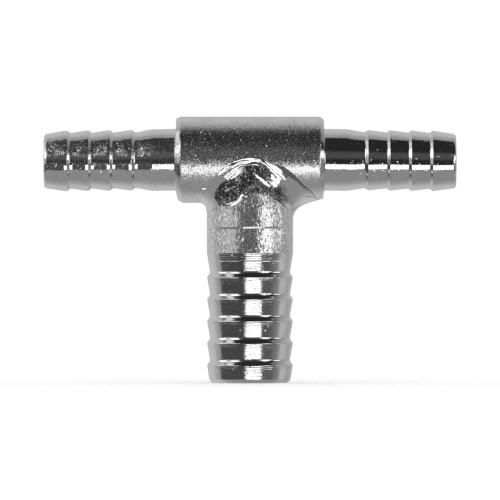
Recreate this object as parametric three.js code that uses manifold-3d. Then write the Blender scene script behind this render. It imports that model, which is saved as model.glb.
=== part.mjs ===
// Welded barbed hose tee in stainless steel.
// A turned run with a small barbed tail at each end lies along X.
// A larger barbed stem stands under its middle, coped to it and welded all round.
// Millimetres, +Z up. The stem stands on z = 0, its axis is the Z axis, and the run's axis crosses it.

import * as THREE from 'three';
import { mergeVertices } from 'three/addons/utils/BufferGeometryUtils.js';
import Module from 'manifold-3d';

// ---- driving dimensions (mm) ----
const SEGMENTS = 48; // sides of every turned surface

const STOCK_R = 5.555; // both pieces are turned from 7/16 in bar
const RUN_AXIS_Z = 28.74; // height of the run's axis over the stem's end face

// run
const BODY_HALF = 9.525; // half of the plain middle, 3/4 in long
const BODY_EDGE_LONG = 0.55; // broken edge at each shoulder, along the axis
const BODY_EDGE_DROP = 0.28; // and across it
const RUN_HALF = 26.66; // half of the overall length
const TAIL_NECK_R = 3.97; // 5/16 in plain length next to the shoulder
const TAIL_NECK_END = 12.55;
const TAIL_ROOT_R = 3.6;
const TAIL_TIP_R = 3.89;
const TAIL_FIRST_ROOT = 14.85;
const TAIL_TIPS = [15.22, 18.03, 20.8, 23.54]; // distance of each barb's edge from the middle
const TAIL_FLANK = 0.3; // length of the steep side of a barb
const TAIL_END_R = 3.5;
const TAIL_FACE_R = 3.12; // outer edge of the flat end face
const TAIL_END_ROUND = 0.38;
const TAIL_BORE_R = 2.38; // 3/16 in drill
const TAIL_DROOP = 0.18; // the weld's shrinkage pulls each tail's end down by this

// stem
const STEM_TIPS = [2.27, 5.11, 7.95, 10.78, 13.58];
const STEM_ROOTS = [2.83, 5.69, 8.53, 11.31, 14.16];
const STEM_TIP_R = 5.52;
const STEM_ROOT_R = 5.15;
const STEM_NECK_Z = 16.72; // where the plain neck starts
const STEM_FACE_R = 4.86; // outer edge of the flat end face
const STEM_BORE_R = 3.57; // 9/32 in drill
const SCRIBE_Z = 19.94; // fine turned line round the neck
const SCRIBE_HALF = 0.09;
const SCRIBE_DEPTH = 0.09;
const COPE_TOP_Z = 27.2; // the coped wings are cut off here, under the weld
const CROSS_HOLE_R = 2.38; // drilled from the stem's bore into the run's

const EDGE = 0.15; // deburred mouth of each bore
const GAP = 0.05; // clearance kept between separate solids

// weld: the upper toe, as distance along the run and angle round it from straight down (degrees)
const TOE_UPPER = [
  [-6.5, 0], [-6.34, 30], [-5.45, 52], [-4.15, 73], [-2.6, 85], [-0.28, 91.5],
  [1.53, 89.5], [3.59, 81], [5.79, 62], [7.98, 32.5], [8.1, 0],
];
// weld: the lower toe, as angle round the stem from +X towards the front (degrees) and height
const TOE_LOWER = [
  [180, 21.9], [150, 22.45], [134, 22.9], [113, 22.9], [100, 23.9], [88, 24.3],
  [74, 24.3], [62, 24.0], [50, 23.35], [36, 22.5], [18, 21.7], [0, 21.4],
];
const WELD_STEPS = 48; // stations round the bead
const WELD_RISE = 1.05; // how far the bead's crown is pulled out at front and back
const TOE_STEP = 0.12; // height of the bead's edge over the metal beside it

// ---- helpers ----
const wasm = await Module();
wasm.setup();

const welded = (geometry) => {
  geometry.deleteAttribute('normal');
  geometry.deleteAttribute('uv');
  return mergeVertices(geometry, 1e-5);
};

const toSolid = (geometry) => {
  const g = welded(geometry);
  return new wasm.Manifold(new wasm.Mesh({
    numProp: 3,
    vertProperties: new Float32Array(g.attributes.position.array),
    triVerts: new Uint32Array(g.index.array),
  }));
};

const toGeometry = (solid) => {
  const m = solid.getMesh();
  const g = new THREE.BufferGeometry();
  const n = m.vertProperties.length / m.numProp;
  const xyz = new Float32Array(n * 3);
  for (let i = 0; i < n; i++) for (let k = 0; k < 3; k++) xyz[i * 3 + k] = m.vertProperties[i * m.numProp + k];
  g.setAttribute('position', new THREE.BufferAttribute(xyz, 3));
  g.setIndex(new THREE.BufferAttribute(new Uint32Array(m.triVerts), 1));
  g.computeVertexNormals();
  return g;
};

const lathe = (profile) => new THREE.LatheGeometry(profile.map(([r, a]) => new THREE.Vector2(r, a)), SEGMENTS);
const alongX = (g) => g.rotateZ(-Math.PI / 2).translate(0, 0, RUN_AXIS_Z);
const alongZ = (g) => g.rotateX(Math.PI / 2);

const table = (rows, from, to) => (v) => {
  // straight-line lookup in rows, by column `from`
  const s = [...rows].sort((p, q) => p[from] - q[from]);
  if (v <= s[0][from]) return s[0][to];
  for (let i = 1; i < s.length; i++) {
    if (v <= s[i][from]) {
      const f = (v - s[i - 1][from]) / (s[i][from] - s[i - 1][from]);
      return s[i - 1][to] + f * (s[i][to] - s[i - 1][to]);
    }
  }
  return s[s.length - 1][to];
};

// ---- run ----
// outer profile of one tail, from the shoulder outwards, as [radius, distance]
const tail = [[TAIL_NECK_R, BODY_HALF], [TAIL_NECK_R, TAIL_NECK_END], [TAIL_ROOT_R, TAIL_FIRST_ROOT]];
TAIL_TIPS.forEach((tip, i) => {
  if (i > 0) tail.push([TAIL_ROOT_R, tip - TAIL_FLANK]);
  tail.push([TAIL_TIP_R, tip]);
});
tail.push([TAIL_END_R, RUN_HALF - TAIL_END_ROUND]);
tail.push([TAIL_FACE_R + 0.27, RUN_HALF - 0.12]);
tail.push([TAIL_FACE_R, RUN_HALF]);

const runOuter = [
  ...tail.map(([r, a]) => [r, -a]).reverse(),
  [STOCK_R - BODY_EDGE_DROP, -BODY_HALF],
  [STOCK_R, -(BODY_HALF - BODY_EDGE_LONG)],
  [STOCK_R, BODY_HALF - BODY_EDGE_LONG],
  [STOCK_R - BODY_EDGE_DROP, BODY_HALF],
  ...tail,
];
const runProfile = [
  ...runOuter,
  [TAIL_BORE_R + EDGE, RUN_HALF],
  [TAIL_BORE_R, RUN_HALF - EDGE],
  [TAIL_BORE_R, BODY_HALF],
  [TAIL_BORE_R, -BODY_HALF],
  [TAIL_BORE_R, -(RUN_HALF - EDGE)],
  [TAIL_BORE_R + EDGE, -RUN_HALF],
  runOuter[0],
];
const runGeometry = alongX(lathe(runProfile));
{
  const p = runGeometry.attributes.position;
  for (let i = 0; i < p.count; i++) {
    const out = Math.max(0, (Math.abs(p.getX(i)) - BODY_HALF) / (RUN_HALF - BODY_HALF));
    p.setZ(i, p.getZ(i) - TAIL_DROOP * out);
  }
}
const crossHole = toSolid(alongZ(lathe([
  [0, RUN_AXIS_Z - STOCK_R - 2], [CROSS_HOLE_R, RUN_AXIS_Z - STOCK_R - 2],
  [CROSS_HOLE_R, RUN_AXIS_Z], [0, RUN_AXIS_Z],
])));
const runSolid = toSolid(runGeometry).subtract(crossHole);

// the run's plain middle with clearance, used to cope its neighbours
const runCutter = toSolid(alongX(lathe([
  [0, -BODY_HALF - 3], [STOCK_R + GAP, -BODY_HALF - 3], [STOCK_R + GAP, BODY_HALF + 3], [0, BODY_HALF + 3],
])));

// ---- stem ----
const stemOuter = [[STEM_FACE_R, 0], [STEM_FACE_R + 0.27, 0.12], [STEM_TIP_R - 0.3, 0.42]];
STEM_TIPS.forEach((tip, i) => {
  stemOuter.push([STEM_TIP_R, tip], [STEM_ROOT_R, STEM_ROOTS[i]]);
});
stemOuter.push(
  [STOCK_R, STEM_NECK_Z],
  [STOCK_R, SCRIBE_Z - SCRIBE_HALF], [STOCK_R - SCRIBE_DEPTH, SCRIBE_Z], [STOCK_R, SCRIBE_Z + SCRIBE_HALF],
  [STOCK_R, COPE_TOP_Z],
);
const stemSolid = toSolid(alongZ(lathe([
  ...stemOuter,
  [STEM_BORE_R, COPE_TOP_Z],
  [STEM_BORE_R, EDGE],
  [STEM_BORE_R + EDGE, 0],
  stemOuter[0],
]))).subtract(runCutter);

// the stem's outside with clearance, without its bore
const stemCutter = toSolid(alongZ(lathe([
  [0, 12], [STOCK_R + GAP, 12], [STOCK_R + GAP, COPE_TOP_Z + GAP], [0, COPE_TOP_Z + GAP],
])));

// ---- weld bead ----
// The bead is swept round the joint. At each station a curve runs from the upper toe on the run
// to the lower toe on the stem: hollow at the sides, crowned at front and back.
const toeX = table(TOE_UPPER.map(([x, a], i) => [i, x, a]), 0, 1);
const toeA = table(TOE_UPPER.map(([x, a], i) => [i, x, a]), 0, 2);
const lowerZ = table(TOE_LOWER, 0, 1);
const upperBy = (() => {
  // the upper toe by the direction in which it lies from the stem's axis
  const rows = [];
  for (let i = 0; i <= (TOE_UPPER.length - 1) * 8; i++) {
    const x = toeX(i / 8);
    const a = THREE.MathUtils.degToRad(toeA(i / 8));
    rows.push([THREE.MathUtils.radToDeg(Math.atan2(STOCK_R * Math.sin(a), x)), x, THREE.MathUtils.radToDeg(a)]);
  }
  return { x: table(rows, 0, 1), a: table(rows, 0, 2) };
})();

const onRun = (x, a, r) => new THREE.Vector3(x, -r * Math.sin(a), RUN_AXIS_Z - r * Math.cos(a));
const onStem = (t, z, r) => new THREE.Vector3(r * Math.cos(t), -r * Math.sin(t), z);

const section = (turn) => {
  // turn runs 0..360 from +X over the front; the back mirrors the front
  const back = turn > 180;
  const deg = back ? 360 - turn : turn;
  const t = THREE.MathUtils.degToRad(deg);
  const x = upperBy.x(deg);
  const a = THREE.MathUtils.degToRad(upperBy.a(deg));
  const z = lowerZ(deg);
  const front = Math.sin(t) ** 2;
  const seam = onStem(t, RUN_AXIS_Z - STOCK_R * Math.abs(Math.cos(t)), STOCK_R);
  const pull = new THREE.Vector3(Math.cos(t), -Math.sin(t), 0).multiplyScalar(WELD_RISE * front);
  pull.z -= 0.35 * front;
  const curve = new THREE.QuadraticBezierCurve3(
    onRun(x, a, STOCK_R + GAP + TOE_STEP),
    seam.clone().add(pull),
    onStem(t, z, STOCK_R + GAP + TOE_STEP),
  );
  const inward = onStem(t, Math.min(seam.z, COPE_TOP_Z) - 0.2, STOCK_R - 1.1);
  const points = [
    onRun(x, a, STOCK_R - 0.35),
    ...curve.getPoints(8),
    onStem(t, z, STOCK_R - 0.35),
    inward,
  ];
  if (back) points.forEach((p) => { p.y = -p.y; });
  return points;
};

const rings = [];
for (let i = 0; i < WELD_STEPS; i++) rings.push(section((i * 360) / WELD_STEPS));
const perRing = rings[0].length;
const beadPositions = [];
rings.forEach((ring) => ring.forEach((p) => beadPositions.push(p.x, p.y, p.z)));
const beadIndex = [];
for (let i = 0; i < WELD_STEPS; i++) {
  const j = (i + 1) % WELD_STEPS;
  for (let k = 0; k < perRing; k++) {
    const l = (k + 1) % perRing;
    const [p, q, r, s] = [i * perRing + k, j * perRing + k, j * perRing + l, i * perRing + l];
    beadIndex.push(p, q, r, p, r, s);
  }
}
const beadGeometry = new THREE.BufferGeometry();
beadGeometry.setAttribute('position', new THREE.BufferAttribute(new Float32Array(beadPositions), 3));
beadGeometry.setIndex(beadIndex);
let beadSolid = toSolid(beadGeometry);
beadSolid = beadSolid.subtract(runCutter).subtract(stemCutter);

// ---- assembly ----
const steel = (color, roughness) => new THREE.MeshStandardMaterial({ color, roughness, metalness: 1 });

const part = (name, solid, material) => {
  const mesh = new THREE.Mesh(toGeometry(solid), material);
  mesh.name = name;
  return mesh;
};

const tee = new THREE.Group();
tee.name = 'barbed_tee';
tee.add(
  part('run_body', runSolid, steel(0xb9b9b7, 0.22)),
  part('branch_stem', stemSolid, steel(0xb4b4b2, 0.2)),
  part('weld_bead', beadSolid, steel(0xa8a8a6, 0.25)),
);

export default tee;
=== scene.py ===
# Welded barbed hose tee in stainless steel: the visual model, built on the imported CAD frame.
import math
from itertools import product

import bpy
import numpy as np
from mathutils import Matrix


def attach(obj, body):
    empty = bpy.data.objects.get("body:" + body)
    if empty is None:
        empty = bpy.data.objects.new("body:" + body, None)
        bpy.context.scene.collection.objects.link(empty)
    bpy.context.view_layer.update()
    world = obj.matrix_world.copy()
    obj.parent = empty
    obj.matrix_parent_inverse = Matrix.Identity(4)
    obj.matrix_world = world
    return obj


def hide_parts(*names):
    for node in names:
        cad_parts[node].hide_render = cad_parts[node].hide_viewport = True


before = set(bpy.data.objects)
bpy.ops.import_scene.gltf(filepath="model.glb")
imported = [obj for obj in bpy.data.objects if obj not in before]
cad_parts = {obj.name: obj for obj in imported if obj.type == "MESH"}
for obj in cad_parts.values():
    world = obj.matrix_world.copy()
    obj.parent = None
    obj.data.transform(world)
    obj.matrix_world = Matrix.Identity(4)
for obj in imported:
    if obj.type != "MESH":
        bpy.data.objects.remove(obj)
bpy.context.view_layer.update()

# ---------------------------------------------------------------- sizes, mm
R = 5.555            # both pieces are turned from the same bar
AX = 28.74           # height of the run's axis
BODY = 9.525
HALF = 26.66
DROOP = 0.18
BORE_RUN = 2.38
BORE_STEM = 3.57
COPE_TOP = 27.2
SCRIBE = 19.94


# ---------------------------------------------------------------- small numeric tools
def lattice(i, j, k, seed):
    n = (i.astype(np.uint32) * np.uint32(374761393)
         ^ j.astype(np.uint32) * np.uint32(668265263)
         ^ k.astype(np.uint32) * np.uint32(2246822519)
         ^ np.uint32((seed * 3266489917) & 0xFFFFFFFF))
    n = (n ^ (n >> np.uint32(15))) * np.uint32(2246822519)
    n = (n ^ (n >> np.uint32(13))) * np.uint32(3266489917)
    n ^= n >> np.uint32(16)
    return n.astype(np.float64) / 2147483648.0 - 1.0


def noise(p, scale, seed=0):
    """Smooth value noise from -1 to 1 at points p (n, 3); scale is a number or one for each axis."""
    q = np.asarray(p, float) * np.asarray(scale, float)
    i = np.floor(q).astype(np.int64)
    f = q - i
    f = f * f * f * (f * (f * 6 - 15) + 10)
    out = np.zeros(len(q))
    for a, b, c in product((0, 1), repeat=3):
        w = (f[:, 0] if a else 1 - f[:, 0]) * (f[:, 1] if b else 1 - f[:, 1]) * (f[:, 2] if c else 1 - f[:, 2])
        out += w * lattice(i[:, 0] + a, i[:, 1] + b, i[:, 2] + c, seed)
    return out


def fbm(p, scale, octaves=3, seed=0):
    out, amp, total = 0.0, 1.0, 0.0
    s = np.asarray(scale, float)
    for o in range(octaves):
        out = out + amp * noise(p, s * (2.03 ** o), seed + 17 * o)
        total += amp
        amp *= 0.5
    return out / total


def step(lo, hi, v):
    t = np.clip((np.asarray(v, float) - lo) / (hi - lo), 0, 1)
    return t * t * (3 - 2 * t)


def hump(v, centre, width):
    return np.exp(-((np.asarray(v, float) - centre) / width) ** 2)


def rounded(corners, long=0.16, close=0.02):
    """A closed loop of (radius, along) corners with a fillet radius each, as dense points. Straight stretches get a point close to each end, so that the shading stays flat along them."""
    pts = [np.array(c[:2], float) for c in corners]
    n = len(pts)
    arcs = []
    for i, c in enumerate(corners):
        p, a, b = pts[i], pts[i - 1], pts[(i + 1) % n]
        u, v = (a - p), (b - p)
        lu, lv = np.linalg.norm(u), np.linalg.norm(v)
        u, v = u / lu, v / lv
        turn = math.pi - math.acos(float(np.clip(u @ v, -1, 1)))
        rad = c[2] if len(c) > 2 else 0.0
        if rad <= 0 or turn < 0.02:
            arcs.append([p])
            continue
        t = min(rad * math.tan(turn / 2), 0.45 * lu, 0.45 * lv)
        m = max(2, int(math.ceil(turn / math.radians(13))))
        p0, p2 = p + u * t, p + v * t
        arcs.append([(1 - s) ** 2 * p0 + 2 * s * (1 - s) * p + s * s * p2 for s in np.linspace(0, 1, m + 1)])
    out = []
    for i in range(n):
        out += arcs[i]
        a, b = arcs[i][-1], arcs[(i + 1) % n][0]
        length = np.linalg.norm(b - a)
        if length < 3 * close:
            continue
        cuts = [close / length]
        k = int(length / long)
        cuts += [j / (k + 1) for j in range(1, k + 1) if close * 2 < j / (k + 1) * length < length - close * 2]
        cuts += [1 - close / length]
        out += [a + (b - a) * s for s in cuts]
    return np.array(out)


def grid_faces(rows, cols):
    """Quads of a closed grid: rows go round, cols close on themselves."""
    i, j = np.meshgrid(np.arange(rows), np.arange(cols), indexing="ij")
    i2, j2 = (i + 1) % rows, (j + 1) % cols
    return np.stack([i * cols + j, i2 * cols + j, i2 * cols + j2, i * cols + j2], -1).reshape(-1, 4)


def make(name, verts_mm, faces, face_slot=None, attrs=None):
    """A closed smooth mesh from numpy arrays; faces are turned outwards if needed."""
    v = np.asarray(verts_mm, float)
    a, b, c, d = (v[faces[:, k]] for k in range(4))
    volume = np.einsum("ij,ij->i", a, np.cross(b, c)).sum() + np.einsum("ij,ij->i", a, np.cross(c, d)).sum()
    if volume < 0:
        faces = faces[:, ::-1]
    mesh = bpy.data.meshes.new(name)
    mesh.vertices.add(len(v))
    mesh.vertices.foreach_set("co", (v * 0.001).astype(np.float32).ravel())
    mesh.loops.add(len(faces) * 4)
    mesh.loops.foreach_set("vertex_index", faces.astype(np.int32).ravel())
    mesh.polygons.add(len(faces))
    mesh.polygons.foreach_set("loop_start", np.arange(0, len(faces) * 4, 4, dtype=np.int32))
    mesh.polygons.foreach_set("use_smooth", np.ones(len(faces), bool))
    if face_slot is not None:
        mesh.polygons.foreach_set("material_index", face_slot.astype(np.int32))
    for key, values in (attrs or {}).items():
        layer = mesh.attributes.new(key, "FLOAT", "POINT")
        layer.data.foreach_set("value", np.asarray(values, np.float32))
    mesh.update(calc_edges=True)
    mesh.validate()
    ob = bpy.data.objects.new(name, mesh)
    bpy.context.scene.collection.objects.link(ob)
    return ob


# ---------------------------------------------------------------- run
def run_corners():
    tips = [15.22, 18.03, 20.80, 23.54]
    tail = [(3.97, BODY, 0.24), (3.97, 12.55, 0.5), (3.60, 14.80, 0.50)]
    for k, tip in enumerate(tips):
        if k:
            tail.append((3.60, tip - 0.35, 0.26))
        tail.append((3.90, tip, 0.075))
    tail += [(3.465, HALF - 0.10, 0.62)]
    eased = [tail[0], tail[1]]
    eased += [(3.915, 12.95, 0.3), (3.625, 14.45, 0.3), (3.60, 14.83, 0.40)]
    for k, tip in enumerate(tips):
        if k:
            eased += [(3.62, tip - 0.35 - 0.36, 0.25), (3.60, tip - 0.35, 0.20)]
        eased += [(3.90, tip, 0.075), (3.885, tip + 0.36, 0.25)]
    eased += [(3.465, HALF - 0.10, 0.62)]
    left = [(r, -a, f) for r, a, f in eased][::-1]
    body = [
        (R - 0.30, -BODY, 0.12), (R, -(BODY - 0.55), 0.55),
        (R, BODY - 0.50, 0.5), (R - 0.40, BODY, 0.14),
    ]
    bore = [
        (BORE_RUN + 0.14, HALF - 0.10, 0.05), (BORE_RUN, HALF - 0.26, 0.08),
        (BORE_RUN, BODY, 0), (BORE_RUN, -BODY, 0),
        (BORE_RUN, -(HALF - 0.26), 0.08), (BORE_RUN + 0.14, -(HALF - 0.10), 0.05),
    ]
    return left + body + tail + bore


SEG = 188
prof = rounded(run_corners(), long=0.23)
# the bore needs few rings
keep, last = [], None
for r, a in prof:
    if r < BORE_RUN + 0.001 and abs(a) < HALF - 0.5:
        if last is not None and abs(a - last) < 1.6:
            continue
        last = a
    keep.append((r, a))
prof = np.array(keep)
n = len(prof)
phi = np.arange(SEG) / SEG * 2 * math.pi
PH, PR = np.meshgrid(phi, prof[:, 0], indexing="ij")
_, PA = np.meshgrid(phi, prof[:, 1], indexing="ij")
ring = np.stack([PA.ravel(), PR.ravel() * np.sin(PH.ravel()), PR.ravel() * np.cos(PH.ravel())], -1)
out = ring[:, 0].copy()
rad = PR.ravel()
outer = step(BORE_RUN + 0.3, BORE_RUN + 0.6, rad)
bodyish = step(BODY + 0.1, BODY - 0.3, np.abs(out))
leftish = step(-BODY, -BODY - 0.6, out)
rightish = step(BODY, BODY + 0.6, out)
d = outer * (
    bodyish * (0.006 * fbm(ring, 0.32, 2, 3) + 0.0016 * fbm(ring, 1.6, 2, 4))
    + leftish * (0.006 * fbm(ring, 0.5, 2, 5) + 0.0040 * fbm(ring, 2.2, 3, 6))
    + rightish * (0.005 * fbm(ring, 0.45, 2, 7) + 0.0012 * fbm(ring, 2.0, 2, 8))
)
# the underside of the body's right end was dressed down with the weld
under = np.degrees(np.arctan2(-PR.ravel() * np.sin(PH.ravel()), -PR.ravel() * np.cos(PH.ravel())))
d -= outer * bodyish * 0.34 * step(6.6, 8.6, out) * np.exp(-((under - 6) / 30.0) ** 2)
# the turned edges aren't perfectly even: shoulders and barb edges are a little worn and nicked
edge = hump(np.abs(out), BODY - 0.25, 0.35) * outer
d += edge * 0.020 * fbm(ring, 0.9, 3, 11)
for tip in (15.22, 18.03, 20.80, 23.54):
    d += outer * hump(out, -tip, 0.12) * (0.012 * fbm(ring, 1.1, 2, 12) - 0.010)
    d += outer * hump(out, tip, 0.12) * 0.006 * fbm(ring, 0.9, 2, 13)
# shallow dents on the left tail
rng = np.random.default_rng(41)
for _ in range(46):
    c = np.array([-rng.uniform(10.2, 26.0), 0, 0])
    ang = rng.uniform(0, 2 * math.pi)
    c[1], c[2] = 3.8 * math.sin(ang), 3.8 * math.cos(ang)
    size = rng.uniform(0.14, 0.36)
    dd = np.linalg.norm(ring - c, axis=1) / size
    d -= outer * 0.012 * size / 0.25 * np.exp(-dd ** 2)
unit = ring.copy()
unit[:, 0] = 0
unit /= np.linalg.norm(unit, axis=1, keepdims=True)
ring = ring + unit * d[:, None]
# both end faces lean in towards the bottom, where they were broken by hand


def leaned(x, angle, radius):
    """How far an end face leans in, from its angle round the body (0 at the bottom) and its radius."""
    return np.where(x < 0, 0.38, 0.17) * np.exp(-(angle / 58.0) ** 2) * np.clip((radius - 4.1) / (R - 4.1), 0, 1) ** 1.4


ring[:, 0] -= np.sign(out) * leaned(out, under, rad) * step(BODY - 1.7, BODY - 0.05, np.abs(out)) * step(BODY + 0.1, BODY + 0.02, np.abs(out))
ring[:, 2] += AX - DROOP * np.clip((np.abs(out) - BODY) / (HALF - BODY), 0, 1)
faces = grid_faces(SEG, n)
run = make("run_turned", ring, faces)

# cross hole from the stem's bore into the run's
cut_n = 96
t = np.arange(cut_n) / cut_n * 2 * math.pi
bm_v = [(BORE_RUN * math.cos(x), BORE_RUN * math.sin(x), z) for z in (AX - R - 1.5, AX) for x in t]
cut_mesh = bpy.data.meshes.new("cross_hole_cutter")
cut_mesh.from_pydata(
    [tuple(c * 0.001 for c in p) for p in bm_v], [],
    [tuple(range(cut_n))[::-1], tuple(range(cut_n, 2 * cut_n))]
    + [(i, (i + 1) % cut_n, cut_n + (i + 1) % cut_n, cut_n + i) for i in range(cut_n)],
)
cut_mesh.update()
cutter = bpy.data.objects.new("cross_hole_cutter", cut_mesh)
bpy.context.scene.collection.objects.link(cutter)
mod = run.modifiers.new("cross_hole", "BOOLEAN")
mod.operation = "DIFFERENCE"
mod.solver = "MANIFOLD"
mod.object = cutter
bpy.context.view_layer.update()
deps = bpy.context.evaluated_depsgraph_get()
cut_result = bpy.data.meshes.new_from_object(run.evaluated_get(deps))
run.modifiers.clear()
run.data = cut_result
run.data.polygons.foreach_set("use_smooth", np.ones(len(run.data.polygons), bool))
bpy.data.objects.remove(cutter)
centre = np.empty(len(run.data.polygons) * 3, np.float32)
run.data.polygons.foreach_get("center", centre)
centre = centre.reshape(-1, 3).astype(float) * 1000
off_axis = np.hypot(centre[:, 1], centre[:, 2] - AX + DROOP * np.clip((np.abs(centre[:, 0]) - BODY) / (HALF - BODY), 0, 1))
low_turn = np.degrees(np.arctan2(-centre[:, 1], -(centre[:, 2] - AX)))
past = np.abs(centre[:, 0]) + leaned(centre[:, 0], low_turn, off_axis) * step(BODY - 1.7, BODY - 0.2, np.abs(centre[:, 0])) - BODY
run_slot = np.where((centre[:, 0] < 0) & (past > -0.42), 1, np.where((centre[:, 0] > 0) & (past > -0.36), 2, 0))
run_slot = np.where(off_axis < BORE_RUN + 0.12, 3, run_slot)
# the cross hole's own wall
run_slot = np.where((np.hypot(centre[:, 0], centre[:, 1]) < BORE_RUN + 0.01) & (centre[:, 2] < AX), 3, run_slot)


# ---------------------------------------------------------------- stem
def stem_corners():
    tips = [2.27, 5.11, 7.95, 10.78, 13.58]
    roots = [2.83, 5.69, 8.53, 11.31, 14.16]
    pts = [(4.88, 0, 0.14), (5.24, 0.44, 0.4)]
    for tip, root in zip(tips, roots):
        pts += [(5.53, tip, 0.09), (5.14, root, 0.55)]
    pts += [
        (R, 16.72, 0.5),
        (R, SCRIBE - 0.13, 0.01), (R - 0.055, SCRIBE - 0.08, 0.01), (R, SCRIBE + 0.12, 0.02),
        (R, COPE_TOP, 0), (BORE_STEM, COPE_TOP, 0), (BORE_STEM, 0.16, 0.08), (BORE_STEM + 0.15, 0, 0.05),
    ]
    return pts


prof = rounded(stem_corners(), long=0.17)
keep, last = [], None
for r, a in prof:
    if r < BORE_STEM + 0.001 and 0.5 < a < COPE_TOP - 0.5:
        if last is not None and abs(a - last) < 1.6:
            continue
        last = a
    keep.append((r, a))
prof = np.array(keep)
n = len(prof)
SEG = 240
phi = np.arange(SEG) / SEG * 2 * math.pi
PH, PR = np.meshgrid(phi, prof[:, 0], indexing="ij")
_, PA = np.meshgrid(phi, prof[:, 1], indexing="ij")
rad, z, ph = PR.ravel(), PA.ravel(), PH.ravel()
# cope: above z = 20.6 the wall is squeezed under the run's surface, a hair into it
top = np.minimum(COPE_TOP, AX - np.sqrt(np.clip((R - 0.015) ** 2 - (rad * np.sin(ph)) ** 2, 0, None)))
low = 20.6
z = np.where(z > low, low + (z - low) * (top - low) / (COPE_TOP - low), z)
p = np.stack([rad * np.cos(ph), rad * np.sin(ph), z], -1)
outer = step(BORE_STEM + 0.4, BORE_STEM + 0.8, rad)
neck = step(16.4, 16.8, z)
d = outer * (
    0.006 * fbm(p, 0.30, 2, 21)
    + neck * 0.0030 * fbm(p, (2.6, 2.6, 0.9), 2, 22)
    + (1 - neck) * 0.0012 * fbm(p, 1.5, 2, 23)
)
for tip in (2.27, 5.11, 7.95, 10.78, 13.58):
    d += outer * hump(z, tip, 0.14) * (0.012 * fbm(p, 0.8, 3, 24) - 0.004)
unit = p.copy()
unit[:, 2] = 0
unit /= np.linalg.norm(unit, axis=1, keepdims=True)
p = p + unit * d[:, None]
# the scribed line runs a little out of square
p[:, 2] += hump(z, SCRIBE, 0.6) * 0.02 * p[:, 0] * outer
faces = grid_faces(SEG, n)
mid_z = PA.ravel()[faces].mean(1)
mid_r = PR.ravel()[faces].mean(1)
slot = np.where(mid_z > 16.70, 1, 0)
slot = np.where(mid_r < BORE_STEM + 0.12, 2, slot)
stem = make("stem_turned", p, faces, slot)

# ---------------------------------------------------------------- weld bead
N_T, N_S = 880, 108
T = np.arange(N_T) / N_T * 360.0


def around(rows):
    """A smooth periodic curve through (degrees, value) rows."""
    rows = sorted(rows)
    deg = np.array([r[0] for r in rows], float)
    val = np.array([r[1] for r in rows], float)
    fine = np.arange(0, 360, 0.5)
    y = np.interp(fine, np.concatenate([deg - 360, deg, deg + 360]), np.tile(val, 3))
    k = np.exp(-((np.arange(-24, 25) * 0.5) / 4.0) ** 2)
    k /= k.sum()
    y = np.convolve(np.concatenate([y[-24:], y, y[:24]]), k, "valid")
    return np.interp(T, np.concatenate([fine, [360]]), np.concatenate([y, y[:1]]))


def toe_rows(points, back):
    xs, al = [], []
    for x, a in points:
        deg = math.degrees(math.atan2(R * math.sin(math.radians(a)), x))
        if back:
            deg = (360 - deg) % 360
        xs.append((deg, x))
        al.append((deg, a))
    return xs, al


front = [(8.62, 0), (8.6, 25.1), (8.02, 40.9), (6.96, 53.5), (5.79, 69.1), (4.61, 79.0), (2.97, 85.2), (1.53, 89.8), (-0.28, 92.5),
         (-2.6, 86), (-4.15, 73.5), (-5.45, 52), (-6.34, 30), (-6.5, 0)]
rear = [(-6.7, 26), (-5.9, 47), (-4.5, 68), (-2.5, 84), (0.1, 90.5), (2.7, 86),
        (4.7, 72), (6.4, 52), (7.7, 28)]
xf, af = toe_rows(front, False)
xr, ar = toe_rows(rear, True)
toe_x, toe_a = around(xf + xr), np.radians(around(af + ar))
toe_z = around([
    (0, 21.4), (18, 21.7), (36, 22.55), (50, 23.3), (62, 24.0), (76, 24.35), (92, 24.3), (100, 24.0),
    (107, 22.95), (118, 22.65), (134, 22.75), (150, 22.4), (165, 22.05), (180, 21.9),
    (205, 22.3), (230, 23.1), (252, 24.0), (270, 24.35), (288, 24.2), (312, 23.1), (336, 22.0),
])
side = np.where(T <= 180, 1.0, -1.0)          # +1 front, -1 back
tr = np.radians(T)
fr = np.sin(tr) ** 2
s = np.linspace(0, 1, N_S)
# closer stations at both toes
s = s - 0.055 * np.sin(2 * math.pi * s)

ya = R * np.sin(toe_a)
U = np.stack([toe_x, -side * ya, AX - R * np.cos(toe_a)], -1)
nU = np.stack([np.zeros(N_T), -side * np.sin(toe_a), -np.cos(toe_a)], -1)
L = np.stack([R * np.cos(tr), -R * np.sin(tr), toe_z], -1)
nL = np.stack([np.cos(tr), -np.sin(tr), np.zeros(N_T)], -1)
seam = np.stack([R * np.cos(tr), -R * np.sin(tr), AX - R * np.abs(np.cos(tr))], -1)
proud = np.where(side > 0, 0.35, 1.10)          # the front was dressed nearly flush, the back stands proud
pull = nL * (proud * fr)[:, None]
pull[:, 2] -= np.where(side > 0, 0.30 + 0.75 * np.exp(-((T - 90) / 17) ** 2), 0.45) * fr
full = np.exp(-(((T + 180) % 360 - 180) / 26) ** 2)          # the right end is filled a little more
pull += np.stack([0.16 * full, np.zeros(N_T), -0.42 * full], -1)
U = U - nU * np.clip(0.34 * step(6.6, 8.6, toe_x) * np.exp(-((side * np.degrees(toe_a) - 6) / 30.0) ** 2) - 0.03, 0, None)[:, None]
C = seam + pull

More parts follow.
